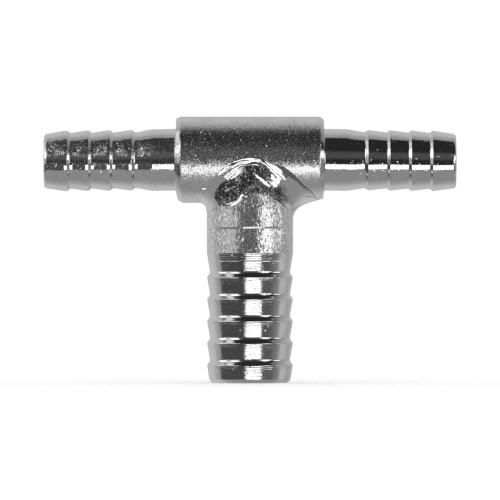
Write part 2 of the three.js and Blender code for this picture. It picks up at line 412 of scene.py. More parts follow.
S = s[None, :, None]
P = (1 - S) ** 2 * U[:, None] + 2 * S * (1 - S) * C[:, None] + S ** 2 * L[:, None]
dT = (np.roll(P, -1, 0) - np.roll(P, 1, 0))
dS = np.gradient(P, axis=1)
NRM = np.cross(dT, dS)
NRM /= np.linalg.norm(NRM, axis=2, keepdims=True) + 1e-12
if (NRM[:, N_S // 2] * nL).sum() < 0:
    NRM = -NRM
seglen = np.linalg.norm(np.diff(P, axis=1), axis=2)
arc = np.concatenate([np.zeros((N_T, 1)), np.cumsum(seglen, 1)], 1)
total = arc[:, -1:]
from_top, from_low = arc, total - arc
X, Y, Z = P[..., 0], P[..., 1], P[..., 2]
flat = P.reshape(-1, 3)
TT = np.repeat(T[:, None], N_S, 1)
FRONT = (side > 0)[:, None] * np.ones((1, N_S))
BACK = 1 - FRONT
near_front = step(0.15, 0.6, np.abs(np.sin(tr)))[:, None]



def to_line(points):
    """Distance of every station from a line drawn on the front view through (x, z) points, in mm. Positive below it; also how far along it the nearest point is, from 0 to 1."""
    q = np.array(points, float)
    best = np.full(X.shape, 1e9)
    where, sign = np.zeros(X.shape), np.ones(X.shape)
    m = len(q) - 1
    for k in range(m):
        a, e = q[k], q[k + 1] - q[k]
        w = np.clip(((X - a[0]) * e[0] + (Z - a[1]) * e[1]) / (e @ e), 0, 1)
        dx_, dz_ = X - a[0] - w * e[0], Z - a[1] - w * e[1]
        dd = np.hypot(dx_, dz_)
        near = dd < best
        best = np.where(near, dd, best)
        where = np.where(near, (k + w) / m, where)
        turn_ = e[0] * dz_ - e[1] * dx_
        if e[0] < 0:
            turn_ = -turn_
        sign = np.where(near, np.where(turn_ < 0, 1.0, -1.0), sign)
    return best * sign, where


def within(points, soft=0.06):
    """1 inside an outline drawn on the front view, 0 outside, with a soft edge."""
    q = np.array(points, float)
    best = np.full(X.shape, 1e9)
    inside_ = np.zeros(X.shape, bool)
    for k in range(len(q)):
        a, b2 = q[k], q[(k + 1) % len(q)]
        e = b2 - a
        w = np.clip(((X - a[0]) * e[0] + (Z - a[1]) * e[1]) / (e @ e), 0, 1)
        best = np.minimum(best, np.hypot(X - a[0] - w * e[0], Z - a[1] - w * e[1]))
        with np.errstate(divide="ignore", invalid="ignore"):
            cross = ((a[1] > Z) != (b2[1] > Z)) & (X < e[0] * (Z - a[1]) / e[1] + a[0])
        inside_ ^= cross
    return FRONT * step(-soft, soft, np.where(inside_, best, -best))


def facing(q):
    """Unit normals of the sheet of stations, on the outer side."""
    n_ = np.cross(np.roll(q, -1, 0) - np.roll(q, 1, 0), np.gradient(q, axis=1))
    n_ /= np.linalg.norm(n_, axis=2, keepdims=True) + 1e-12
    return n_ * np.sign((n_ * NRM).sum(2, keepdims=True))


# edge heights over the metal beside them
up_step = around([(0, 0.012), (20, 0.015), (40, 0.02), (50, 0.03), (60, 0.04), (68, 0.09), (75, 0.15), (90, 0.17), (105, 0.15), (118, 0.10),
                  (130, 0.04), (160, 0.02), (180, 0.02), (220, 0.06), (270, 0.12), (320, 0.05)])[:, None]
low_step = around([(0, 0.02), (30, 0.05), (50, 0.04), (62, 0.015), (92, 0.015), (98, 0.05), (102, 0.11), (108, 0.15), (119, 0.11), (140, 0.03),
                   (180, 0.02), (230, 0.06), (270, 0.09), (320, 0.05)])[:, None]
dip = around([(0, 0.05), (45, 0.05), (60, 0.015), (94, 0.015), (101, 0.05), (180, 0.05), (270, 0.05)])[:, None]
broad = around([(0, 0.0), (12, 0.0), (24, 0.08), (52, 0.10), (62, 0.06), (70, 0.0), (120, 0.0), (200, 0.0), (300, 0.0)])[:, None]
h = up_step * (1 - np.exp(-from_top / 0.04)) * np.exp(-np.clip(from_top - 0.25, 0, None) / 1.3) - 0.04 * np.exp(-from_top / 0.05)
h += broad * (1 - np.exp(-from_top / 0.45)) * np.exp(-np.clip(from_top - 0.8, 0, None) / 1.2)
h += (low_step + dip) * (1 - np.exp(-from_low / 0.06)) * np.exp(-np.clip(from_low - 0.25, 0, None) / 0.55) - dip * np.exp(-from_low / 0.06)
inside = step(0.0, 0.30, from_top) * step(0.0, 0.30, from_low)

# swellings that break the even sweep
h += inside * (0.014 + 0.036 * BACK) * fbm(flat, 0.42, 2, 31).reshape(N_T, N_S)
h += inside * (0.005 + 0.011 * BACK) * fbm(flat, 1.3, 2, 32).reshape(N_T, N_S)

# the back of the bead: ripples across it
warp = fbm(flat, 0.8, 2, 33).reshape(N_T, N_S)
rip2 = np.sin(2 * math.pi * (0.115 * TT * R / 10 + 0.9 * (s[None, :] - 0.5) ** 2 * 4 + 0.12 * warp) / 0.60)
h += inside * BACK * near_front * 0.016 * rip2

# outlines drawn on the front view are broken up by this wander
wander_x = 0.09 * fbm(flat, 2.0, 3, 51).reshape(N_T, N_S)
wander_z = 0.09 * fbm(flat, 2.0, 3, 52).reshape(N_T, N_S)
X0, Z0 = X, Z
X, Z = X0 + wander_x, Z0 + wander_z

# the stop crater: a teardrop hollow, right of the top
crater = within([(0.39, 27.78), (1.09, 28.14), (2.03, 27.96), (2.63, 27.2), (2.8, 26.48), (2.56, 26.02), (2.15, 25.9), (1.57, 26.2),
                 (0.69, 26.9), (0.39, 27.31)], 0.09)
h -= inside * 0.025 * crater

# the throat, where polishing never reached: dark, pitted and mottled
throat = within([(-2.78, 26.13), (-3.71, 25.6), (-4.3, 24.85), (-4.65, 23.79), (-4.12, 23.2), (-3.77, 22.68), (-2.42, 22.5), (-1.37, 23.3),
                 (-1.0, 24.0), (-0.78, 24.2), (0.16, 24.1), (1.09, 24.2), (2.03, 24.0), (2.74, 23.5), (3.44, 22.8), (3.92, 22.3), (4.73, 23.1),
                 (4.5, 23.9), (4.15, 24.85), (4.0, 25.43), (3.44, 25.15), (2.26, 25.2), (1.45, 25.8), (0.63, 26.6), (0.39, 27.95),
                 (-0.95, 27.85), (-0.98, 26.96), (-1.95, 26.05)], 0.16)
throat *= 1 - 0.72 * step(2.7, 4.6, X)
loose = within([(2.9, 25.0), (3.6, 25.5), (4.4, 25.7), (4.9, 25.0), (5.1, 24.0), (4.9, 22.9), (4.0, 22.2), (3.2, 23.0), (2.6, 24.0)], 0.35)
throat = np.maximum(throat, 0.34 * loose)
throat_back = BACK * 0.6 * step(1.2, 0.6, np.hypot(X / 3.0, (Z - 25.3) / 0.9))

# where the last passes left slopes that lean down: a fan on the upper left, a crescent round the stop crater.
# Their outlines end in strokes: the fan's run up to the right, the crescent's down to the right
along, across = 0.86 * X + 0.5 * Z, -0.5 * X + 0.86 * Z
frayed = 0.55 * fbm(np.stack([along.ravel() * 0.3, across.ravel() * 4.2, 0 * along.ravel()], -1), 1.0, 2, 57).reshape(N_T, N_S)
X1, Z1 = X, Z
X, Z = X1 + 0.86 * frayed, Z1 + 0.5 * frayed
fan = within([(-4.3, 27.0), (-3.9, 27.6), (-3.37, 28.0), (-2.47, 28.5), (-1.45, 28.95), (-0.4, 29.15), (0.8, 29.05), (1.0, 28.55), (0.2, 28.35),
              (-0.5, 28.05), (-0.85, 27.6), (-1.1, 26.95), (-1.5, 26.5), (-1.95, 26.1), (-2.66, 26.2), (-3.37, 26.6)], 0.07)
along, across = 0.78 * X1 - 0.62 * Z1, 0.62 * X1 + 0.78 * Z1
frayed = (0.08 + 0.34 * step(26.0, 27.0, Z1)) * fbm(np.stack([along.ravel() * 0.3, across.ravel() * 5.0, 0 * along.ravel()], -1), 1.0, 2, 58).reshape(N_T, N_S)
brush_right = fbm(np.stack([along.ravel() * 0.5, across.ravel() * 5.0, 0 * along.ravel()], -1), 1.0, 2, 59).reshape(N_T, N_S)
X, Z = X1 + 0.78 * frayed, Z1 - 0.62 * frayed
crescent = within([(0.6, 29.05), (1.09, 28.9), (2.15, 28.47), (2.86, 28.15), (3.44, 27.61), (4.03, 27.01), (4.5, 26.28), (4.62, 26.0), (4.15, 26.3), (3.85, 26.1),
                   (3.79, 25.67), (3.2, 25.19), (2.4, 25.22), (1.95, 25.5), (1.4, 26.0), (0.6, 26.72), (0.66, 26.84), (1.5, 26.2), (2.15, 25.82),
                   (2.6, 25.96), (2.8, 26.48), (2.58, 27.25), (1.98, 27.99), (1.3, 28.35), (0.6, 28.55)], 0.06)
X, Z = X1, Z1
shade = within([(2.4, 28.7), (2.97, 28.5), (4.61, 27.9), (5.95, 26.9), (7.2, 25.5), (7.6, 24.9), (6.9, 25.0), (6.2, 25.7), (5.4, 26.3), (4.9, 26.6), (4.72, 26.25),
                (4.6, 26.5), (4.1, 27.2), (3.5, 27.8), (2.95, 28.3)], 0.14) * (1 - crescent)
shade_left = within([(-4.5, 27.0), (-4.0, 26.85), (-3.3, 26.35), (-2.6, 25.95), (-2.95, 25.75), (-3.6, 25.6), (-4.25, 24.8), (-4.7, 24.6), (-5.3, 25.3)], 0.14) * (1 - fan)
turned_lip = within([(-2.66, 22.68), (-2.6, 22.55), (-2.07, 22.5), (-1.58, 22.8), (-1.26, 23.32), (-1.08, 23.9), (-0.86, 24.14), (-0.94, 24.34), (-1.2, 24.16),
                     (-1.4, 23.62), (-1.75, 23.22), (-2.2, 22.95)], 0.05)
lines = [
    [(-4.6, 26.75), (-4.02, 27.40), (-3.37, 27.91), (-2.47, 28.43), (-1.44, 28.88), (-0.41, 29.07), (0.63, 28.94), (1.5, 28.8)],
    [(-4.2, 26.75), (-3.76, 27.1), (-2.6, 27.81), (-1.31, 28.26), (-0.02, 28.39), (0.9, 28.4)],
    [(-4.0, 26.35), (-3.37, 26.78), (-2.34, 27.43), (-1.18, 27.94), (-0.02, 28.14), (0.8, 28.1)],
    [(-3.6, 26.05), (-2.99, 26.46), (-2.08, 27.17), (-1.31, 27.62), (-0.41, 27.94), (0.6, 27.95)],
    [(-3.2, 25.85), (-2.6, 26.26), (-1.95, 26.91), (-1.44, 27.3), (-0.79, 27.68), (0.3, 27.8)],
    [(-2.4, 25.9), (-1.7, 26.59), (-1.31, 26.97), (-1.05, 27.23), (-0.5, 27.5)],
]
dist = [to_line(q)[0] for q in lines]
count = np.full(X.shape, -1.0)
for k in range(len(lines)):
    low_d = dist[k + 1] if k + 1 < len(lines) else dist[k] - 0.33
    count = np.where((dist[k] > 0) & (low_d <= 0), k + dist[k] / np.maximum(dist[k] - low_d, 1e-6), count)
part_ = np.where(count < 0, 0.0, count - np.floor(count))
torn = 0.5 + 0.9 * fbm(flat, (0.7, 0.7, 2.2), 2, 53).reshape(N_T, N_S)
gap_line = np.exp(-((part_ - 0.55) / 0.17) ** 2) * np.clip(torn, 0, 1) * step(0.0, 0.25, count) * step(0.7, 0.1, X)
along, across = 0.86 * X + 0.5 * Z, -0.5 * X + 0.86 * Z
across = np.where(count < 0, across, 0.45 * count)
brush = fbm(np.stack([along.ravel() * 0.45, across.ravel() * 9.5, 0 * along.ravel()], -1), 1.0, 2, 61).reshape(N_T, N_S) * np.where(count < 0, 1.0, step(0.0, 0.7, count))
# painted shade: darker strokes in the base colour between the bright ones
stroke_shade = fbm(np.stack([along.ravel() * 0.6, across.ravel() * 12.0, 0 * along.ravel()], -1), 1.0, 2, 63).reshape(N_T, N_S)
stroke_shade_right = fbm(np.stack([(0.78 * X - 0.62 * Z).ravel() * 0.6, (0.62 * X + 0.78 * Z).ravel() * 6.5, 0 * along.ravel()], -1), 1.0, 2, 64).reshape(N_T, N_S)
second = to_line([(2.1, 28.1), (2.6, 27.75), (3.09, 27.19), (3.79, 26.6), (4.3, 26.25)])
third = to_line([(2.7, 27.6), (3.05, 26.9), (3.3, 26.3), (3.3, 25.8)])
gap_right = np.exp(-(second[0] / 0.06) ** 2) * step(0, 0.15, second[1]) + 0.6 * np.exp(-(third[0] / 0.05) ** 2) * step(0, 0.3, third[1]) * step(1, 0.7, third[1])
rim = to_line([(0.9, 28.45), (1.5, 28.25), (2.03, 27.96), (2.63, 27.2), (2.8, 26.48), (2.6, 26.0)])[0]
rim = np.exp(-(rim / 0.42) ** 2)
# one thin raised line that runs from the fan to the crater
tie = to_line([(-1.5, 28.0), (-0.08, 27.98), (0.63, 28.07), (1.35, 27.75)])
tie = np.exp(-(tie[0] / 0.09) ** 2) * step(0, 0.1, tie[1]) * step(1, 0.9, tie[1]) * FRONT
# the lip that turns up along the lower edge on the left
lip = FRONT * hump(from_low, 0.26, 0.17) * step(97.5, 101, TT) * step(126, 117, TT)

rough_m = np.clip(np.maximum(np.maximum(throat, crater), throat_back), 0, 1) * (1 - 0.95 * np.clip(lip * 1.6, 0, 1))
rough_m *= 1 - 0.9 * np.clip(np.maximum(np.maximum(fan, turned_lip), np.maximum(crescent, tie)) - 0.2 * crater, 0, 1)
h += inside * rough_m * (0.012 * fbm(flat, 3.0, 3, 35) + 0.008 * fbm(flat, 6.5, 2, 37)).reshape(N_T, N_S)
X, Z = X0, Z0

lean = np.clip(np.maximum(np.maximum(fan, crescent), 0.85 * tie), 0, 1)
lit = np.clip(np.maximum(lean, turned_lip), 0, 1)
now_el = np.degrees(np.arcsin(np.clip(facing(P + NRM * h[..., None])[..., 2], -1, 1)))
goal = -12.5 + 2.0 * fbm(flat, (1.2, 1.2, 2.6), 2, 36).reshape(N_T, N_S) + (15.0 * brush + 6.0 * gap_line) * fan + ((4.0 + 12.0 * rim) * brush_right + 10.0 * gap_right) * crescent
slope = lean * np.tan(np.radians(np.clip(goal - now_el, -50, 16)))
slope = slope + lip * 0.42 - FRONT * hump(from_low, 0.80, 0.30) * step(97, 102, TT) * step(130, 120, TT) * 0.16
ds = np.concatenate([np.zeros((N_T, 1)), seglen], 1)
relief = np.zeros((N_T, N_S))
for j in range(1, N_S):
    keep_ = np.exp(-ds[:, j] * (1 - lean[:, j]) / 0.9)
    relief[:, j] = relief[:, j - 1] * keep_ + slope[:, j] * ds[:, j] * step(0.0, 0.10, from_top[:, j])
relief *= step(0.0, 0.35, from_low)
for _ in range(2):
    relief = 0.25 * np.roll(relief, 1, 0) + 0.5 * relief + 0.25 * np.roll(relief, -1, 0)
h += 0.75 * relief

# painted shade: dark lines in the base colour along a fine undercut on the upper edge on the right, a lap near its end
# and a faint line inside it
undercut = 0.55 * FRONT * hump(from_top, 0.05, 0.09) * step(4, 12, TT) * step(70, 60, TT)
lap = to_line([(6.96, 23.86), (7.4, 24.03), (7.9, 24.0), (8.3, 23.88), (8.6, 23.7)])
lap = np.exp(-(lap[0] / 0.08) ** 2) * step(0.0, 0.2, lap[1]) * FRONT
faint = to_line([(4.9, 25.8), (5.25, 25.15), (5.66, 24.5)])
faint = np.exp(-(faint[0] / 0.06) ** 2) * step(0.0, 0.3, faint[1]) * step(1.0, 0.7, faint[1]) * FRONT
painted_shade = np.maximum(undercut * 1.1, np.maximum(0.75 * lap, 0.22 * faint))
# painted shade: grey strokes in the base colour across the fan's and crescent's highlights
painted_shade = np.clip(painted_shade + np.clip(0.38 + 2.4 * stroke_shade, 0, 1) ** 1.5 * fan * 0.9 + np.clip(0.22 + 2.2 * stroke_shade_right, 0, 1) ** 1.5 * crescent * 0.8, 0, 1)

Pn = P + NRM * h[..., None]
# what is left between the facet as built and as brushed: a turn of the shading normal
made = facing(Pn)
az_ = np.clip(np.degrees(np.arctan2(made[..., 0], -made[..., 1])), -3.5, 13.0)
el_ = np.radians(goal)
az_ = np.radians(az_)
wanted = np.stack([np.sin(az_) * np.cos(el_), -np.cos(az_) * np.cos(el_), np.sin(el_)], -1)
turn = (wanted - made) * (lit * step(0.0, 0.08, from_top))[..., None]
calm = np.array([math.sin(0.58) * math.cos(0.21), -math.cos(0.58) * math.cos(0.21), -math.sin(0.21)])
turn += (calm - made) * (0.9 * shade * (1 - lit))[..., None]
calm = np.array([-math.sin(0.35) * math.cos(0.44), -math.cos(0.35) * math.cos(0.44), -math.sin(0.44)])
turn += (calm - made) * (0.85 * shade_left * (1 - lit))[..., None]

# closed inside its neighbours
inner_u = U - nU * 0.40
inner_l = L - nL * 0.40
mid = np.stack([(R - 0.95) * np.cos(tr), -(R - 0.95) * np.sin(tr),
                np.minimum(seam[:, 2], COPE_TOP) - 0.25], -1)
sheet = np.concatenate([inner_u[:, None], Pn, inner_l[:, None], mid[:, None]], 1)
cols = sheet.shape[1]
pad = lambda a: np.concatenate([a[:, :1], a, a[:, -1:], a[:, -1:]], 1).ravel()
bead_v = sheet.reshape(-1, 3)
bead_f = grid_faces(N_T, cols)
# the dark lines and strokes go to the weld's material as painted shade
m_rough, m_painted_shade = pad(rough_m), pad(painted_shade)
m_turn = [pad(turn[..., k]) for k in range(3)]


def drop(centre, normal, size, tall, seg=28, rows=12, stretch=(1, 1)):
    """A bead of spatter: a rounded blob, sunk a little in the surface. Poles are tiny rings, left open."""
    normal = np.array(normal, float) / np.linalg.norm(normal)
    side_v = np.cross(normal, (0, 0, 1.0))
    side_v /= np.linalg.norm(side_v)
    up_v = np.cross(side_v, normal)
    v, f = [], []
    for i in range(rows + 1):
        lat = math.pi * (0.02 + 0.96 * i / rows) - math.pi / 2
        for j in range(seg):
            lon = 2 * math.pi * j / seg
            wide = size * math.cos(lat) ** 0.5
            v.append(np.array(centre) + normal * (tall * math.copysign(abs(math.sin(lat)) ** 0.6, lat))
                     + side_v * (wide * stretch[0] * math.cos(lon))
                     + up_v * (wide * stretch[1] * math.sin(lon)))
    for i in range(rows):
        for j in range(seg):
            f.append((i * seg + j, i * seg + (j + 1) % seg, (i + 1) * seg + (j + 1) % seg, (i + 1) * seg + j))
    return np.array(v), f


weld = make("weld_rippled", bead_v, bead_f, None, {"rough": m_rough, "shade_paint": m_painted_shade, "turn_x": m_turn[0], "turn_y": m_turn[1], "turn_z": m_turn[2]})


def spatter(name, x, a_deg, size, tall, stretch=(1, 1)):
    a = math.radians(a_deg)
    at = (x, -(R + 0.03) * math.sin(a), AX - (R + 0.03) * math.cos(a))
    turned = (0.03, -math.cos(math.radians(13)), -math.sin(math.radians(13)))
    v, f = drop(at, turned, size, tall, stretch=stretch)
    seg = 28
    caps = []
    base = len(v)
    # close both tiny pole rings with a fan of quads round a centre strip
    low_c, high_c = v[:seg].mean(0), v[-seg:].mean(0)
    v = np.concatenate([v, [low_c, high_c]])
    for j in range(0, seg, 2):
        caps.append((base, (j + 2) % seg, (j + 1) % seg, j))
        k = base - seg
        caps.append((base + 1, k + j, k + j + 1, k + (j + 2) % seg))
    return make(name, v, np.array(f + caps), None, {k: np.zeros(len(v)) for k in ("rough", "shade_paint", "turn_x", "turn_y", "turn_z")})


spat = spatter("weld_spatter", -5.92, 48, 0.26, 0.11, (1.45, 0.75))

# ---------------------------------------------------------------- materials


class Nodes:
    """Short ways to build a node tree."""

    def __init__(self, tree):
        self.t = tree

    def new(self, kind, **props):
        node = self.t.nodes.new(kind)
        for k, v in props.items():
            setattr(node, k, v)
        return node

    def put(self, socket, value):
        if hasattr(value, "is_output") or isinstance(value, bpy.types.NodeSocket):
            self.t.links.new(value, socket)
        else:
            socket.default_value = value

    def math(self, op, a, b=None, c=None, clamp=False):
        node = self.new("ShaderNodeMath", operation=op, use_clamp=clamp)
        for k, v in enumerate((a, b, c)):
            if v is not None:
                self.put(node.inputs[k], v)
        return node.outputs[0]

    def add(self, a, b): return self.math("ADD", a, b)
    def sub(self, a, b): return self.math("SUBTRACT", a, b)
    def mul(self, a, b): return self.math("MULTIPLY", a, b)

    def smooth(self, lo, hi, v, a=0.0, b=1.0):
        node = self.new("ShaderNodeMapRange", interpolation_type="SMOOTHSTEP", clamp=True)
        if lo > hi:
            lo, hi, a, b = hi, lo, b, a
        for k, x in ((0, v), (1, lo), (2, hi), (3, a), (4, b)):
            self.put(node.inputs[k], x)
        return node.outputs[0]

    def mix(self, f, a, b):
        node = self.new("ShaderNodeMix", data_type="FLOAT", clamp_factor=True)
        self.put(node.inputs[0], f)
        self.put(node.inputs[2], a)
        self.put(node.inputs[3], b)
        return node.outputs[0]

    def mix_colour(self, f, a, b):
        node = self.new("ShaderNodeMix", data_type="RGBA", clamp_factor=True)
        self.put(node.inputs[0], f)
        for k, x in ((6, a), (7, b)):
            self.put(node.inputs[k], x if not isinstance(x, tuple) else (*x, 1.0)[:4])
        return node.outputs[2]

    def scaled(self, vector, scale):
        node = self.new("ShaderNodeVectorMath", operation="MULTIPLY")
        self.put(node.inputs[0], vector)
        node.inputs[1].default_value = scale
        return node.outputs[0]

    def noise(self, vector, scale=1.0, detail=2.0, rough=0.5, distort=0.0):
        node = self.new("ShaderNodeTexNoise", noise_dimensions="3D")
        self.put(node.inputs["Vector"], vector)
        node.inputs["Scale"].default_value = scale
        node.inputs["Detail"].default_value = detail
        node.inputs["Roughness"].default_value = rough
        node.inputs["Distortion"].default_value = distort
        return node.outputs[0]

    def cells(self, vector, scale):
        node = self.new("ShaderNodeTexVoronoi", feature="F1")
        self.put(node.inputs["Vector"], vector)
        node.inputs["Scale"].default_value = scale
        return node.outputs["Distance"]

    def tilt(self, vector, scale, power, amount, mask=None, squash=None):
        """A small vector for each cell, added to the normal: with a high power most are near zero and a few are long."""
        node = self.new("ShaderNodeTexVoronoi", feature="F1")
        self.put(node.inputs["Vector"], self.scaled(vector, scale))
        node.inputs["Scale"].default_value = 1.0
        c = self.new("ShaderNodeVectorMath", operation="MULTIPLY_ADD")
        self.put(c.inputs[0], node.outputs["Color"])
        c.inputs[1].default_value = (2, 2, 2)
        c.inputs[2].default_value = (-1, -1, -1)
        k = amount
        if power:
            sq = self.new("ShaderNodeVectorMath", operation="DOT_PRODUCT")
            self.put(sq.inputs[0], c.outputs[0])
            self.put(sq.inputs[1], c.outputs[0])
            k = self.mul(self.math("POWER", self.mul(sq.outputs["Value"], 1 / 3), power), amount)
        if mask is not None:
            k = self.mul(mask, k)
        out = self.new("ShaderNodeVectorMath", operation="SCALE")
        self.put(out.inputs[0], self.scaled(c.outputs[0], squash) if squash else c.outputs[0])
        self.put(out.inputs["Scale"], k)
        return out.outputs[0]

    def flakes(self, *tilts):
        """The surface normal, tilted cell by cell. It gives metal its sparkle."""
        total = self.new("ShaderNodeNewGeometry").outputs["Normal"]
        for t in tilts:
            add = self.new("ShaderNodeVectorMath", operation="ADD")
            self.put(add.inputs[0], total)
            self.put(add.inputs[1], t)
            total = add.outputs[0]
        unit = self.new("ShaderNodeVectorMath", operation="NORMALIZE")
        self.put(unit.inputs[0], total)
        return unit.outputs[0]

    def bump(self, height, distance, strength=1.0, normal=None):
        node = self.new("ShaderNodeBump")
        node.inputs["Strength"].default_value = strength
        node.inputs["Distance"].default_value = distance
        self.put(node.inputs["Height"], height)
        if normal is not None:
            self.put(node.inputs["Normal"], normal)
        return node.outputs[0]


def steel(name):
    mat = bpy.data.materials.new(name)
    mat.use_nodes = True
    tree = mat.node_tree
    tree.nodes.clear()
    nd = Nodes(tree)
    bsdf = nd.new("ShaderNodeBsdfPrincipled")
    outn = nd.new("ShaderNodeOutputMaterial")
    tree.links.new(bsdf.outputs[0], outn.inputs[0])
    bsdf.inputs["Metallic"].default_value = 1.0
    coord = nd.new("ShaderNodeTexCoord").outputs["Object"]
    mm = nd.scaled(coord, (1000, 1000, 1000))
    return mat, nd, bsdf, mm


def body_steel():
    """Tumbled bar: a fine sparkling grain, stronger towards the left end."""
    mat, nd, bsdf, mm = steel("steel_tumbled")
    x = nd.new("ShaderNodeSeparateXYZ")
    nd.put(x.inputs[0], mm)
    lean = nd.smooth(-9.5, 9.5, x.outputs[0], 1.0, 0.72)
    flat_n = nd.flakes(nd.tilt(mm, (9.5, 9.5, 9.5), 0.8, 0.15, lean), nd.tilt(mm, (7.6, 7.6, 7.6), 3.8, 1.0, lean))
    grain = nd.noise(mm, 5.0, 2.0, 0.6)
    nd.put(bsdf.inputs["Normal"], nd.bump(grain, 1.2e-5, normal=flat_n))
    cloud = nd.noise(mm, 0.45, 3.0, 0.6)
    nd.put(bsdf.inputs["Roughness"], nd.smooth(0.3, 0.7, cloud, 0.26, 0.30))
    nd.put(bsdf.inputs["Base Color"], nd.mix_colour(nd.smooth(0.35, 0.7, cloud), (0.585, 0.585, 0.582), (0.545, 0.545, 0.543)))
    return mat


def tail_steel(name, rough_lo, rough_hi, sparkle, lines, wear=0.0):
    """Turned tail: fine rings left by the tool, with more or less sparkle from small pits."""
    mat, nd, bsdf, mm = steel(name)
    bsdf.inputs["Metallic"].default_value = 0.97 if wear else 1.0
    patch = nd.smooth(0.42, 0.62, nd.noise(mm, 0.55, 2.0, 0.5), 0.25, 1.0)
    # small curled scratches: parts of rings round scattered points
    ring = nd.cells(mm, 0.85)
    curl = nd.mul(nd.mul(nd.smooth(0.020, 0.008, nd.math("ABSOLUTE", nd.sub(ring, 0.34))), nd.smooth(0.50, 0.56, nd.noise(mm, 0.9, 1.0, 0.5))), min(1.0, 1.2 * sparkle))
    # rubbed zone a little above the front
    sep = nd.new("ShaderNodeSeparateXYZ")
    nd.put(sep.inputs[0], mm)
    zone = nd.mul(nd.smooth(AX + 0.1, AX + 0.7, sep.outputs[2]), nd.smooth(AX + 2.7, AX + 1.7, sep.outputs[2]))
    worn = nd.mul(nd.mul(zone, nd.smooth(0.34, 0.56, nd.noise(mm, 1.1, 2.0, 0.6))), wear)
    flat_n = nd.flakes(nd.tilt(mm, (9.5, 9.5, 9.5), 5.0, 1.5 * sparkle, patch), nd.tilt(mm, (9.0, 9.0, 9.0), 0.5, 0.05 * sparkle, patch),
                       nd.tilt(mm, (4.0, 4.0, 4.0), 0.4, 0.55, curl), nd.tilt(mm, (9.0, 9.0, 9.0), 1.5, 0.40, worn))
    rings = nd.noise(nd.scaled(mm, (4.5, 0.2, 0.2)), 1.0, 2.0, 0.6)
    grain = nd.noise(mm, 3.0, 2.0, 0.6)
    height = nd.add(nd.mul(rings, lines), nd.mul(grain, 0.3 * sparkle))
    nd.put(bsdf.inputs["Normal"], nd.bump(height, 1.0e-5, normal=flat_n))
    cloud = nd.noise(mm, 0.6, 3.0, 0.6)
    nd.put(bsdf.inputs["Roughness"], nd.add(nd.smooth(0.3, 0.7, cloud, rough_lo, rough_hi), nd.mul(worn, 0.22)))
    tone = nd.mix_colour(nd.smooth(0.3, 0.7, cloud), (0.585, 0.585, 0.582), (0.55, 0.55, 0.548))
    nd.put(bsdf.inputs["Base Color"], nd.mix_colour(nd.smooth(0.46, 0.70, nd.noise(mm, 7.5, 1.0, 0.6), 0.0, 0.5), tone, (0.40, 0.40, 0.398)))
    return mat


def barb_steel():
    mat, nd, bsdf, mm = steel("steel_turned_stem")
    flat_n = nd.flakes(nd.tilt(mm, (5.6, 5.6, 5.6), 5.0, 0.35))
    rings = nd.noise(nd.scaled(mm, (0.2, 0.2, 4.2)), 1.0, 3.0, 0.7)
    grain = nd.noise(mm, 3.4, 2.0, 0.6)
    sep = nd.new("ShaderNodeSeparateXYZ")
    nd.put(sep.inputs[0], mm)
    z = sep.outputs[2]
    marked = nd.smooth(15.72, 15.95, z)
    for tip in (2.27, 5.11, 7.95, 10.78, 13.58):
        edge = nd.mul(nd.smooth(tip - 0.95, tip - 0.35, z), nd.smooth(tip + 0.2, tip + 0.1, z))
        marked = nd.math("MAXIMUM", marked, edge)
    drift = nd.mul(nd.noise(nd.scaled(mm, (0.25, 0.25, 1.6)), 1.0, 2.0, 0.6), 9.0)
    lines = nd.math("SINE", nd.add(nd.mul(z, 27.0), drift))
    score = nd.mul(nd.smooth(0.07, 0.0, nd.math("ABSOLUTE", nd.sub(z, 15.68))), -1.3)
    height = nd.add(nd.add(nd.mul(rings, 1.0), nd.mul(grain, 0.25)), nd.add(nd.mul(nd.mul(lines, marked), 0.26), score))
    nd.put(bsdf.inputs["Normal"], nd.bump(height, 1.0e-5, normal=flat_n))
    cloud = nd.noise(mm, 0.5, 3.0, 0.6)
    nd.put(bsdf.inputs["Roughness"], nd.smooth(0.3, 0.7, cloud, 0.11, 0.15))
    nd.put(bsdf.inputs["Base Color"], nd.mix_colour(nd.smooth(0.3, 0.7, cloud), (0.585, 0.585, 0.582), (0.55, 0.55, 0.548)))
    return mat


def neck_steel():
    """Plain neck as drawn: fine upright grain, duller and more broken beside the weld."""
    mat, nd, bsdf, mm = steel("steel_drawn_neck")
    bsdf.inputs["Metallic"].default_value = 0.87
    bsdf.inputs["Specular IOR Level"].default_value = 0.3
    sep = nd.new("ShaderNodeSeparateXYZ")
    nd.put(sep.inputs[0], mm)
    by_weld = nd.smooth(21.6, 23.6, sep.outputs[2])
    flat_n = nd.flakes(nd.tilt(mm, (8.5, 8.5, 2.6), 0.6, 0.20, squash=(1, 1, 0.3)), nd.tilt(mm, (7.5, 7.5, 3.4), 3.0, 0.60),
                       nd.tilt(mm, (6.5, 6.5, 3.0), 0.8, 0.40, by_weld))
    grain = nd.noise(nd.scaled(mm, (4.4, 4.4, 1.3)), 1.0, 2.0, 0.65)
    nd.put(bsdf.inputs["Normal"], nd.bump(grain, 2.2e-5, normal=flat_n))
    cloud = nd.noise(mm, 0.6, 3.0, 0.6)
    nd.put(bsdf.inputs["Roughness"], nd.smooth(0.3, 0.7, cloud, 0.17, 0.21))
    pits = nd.smooth(0.44, 0.64, nd.noise(nd.scaled(mm, (7.5, 7.5, 5.5)), 1.0, 1.0, 0.6))
    tone = nd.mix_colour(pits, (0.66, 0.66, 0.657), (0.34, 0.34, 0.338))
    # the base colour darkens from z 21.6 mm upwards, towards the weld, which dims the highlight there
    nd.put(bsdf.inputs["Base Color"], nd.mix_colour(nd.mul(by_weld, 0.40), tone, (0.22, 0.22, 0.22)))
    return mat


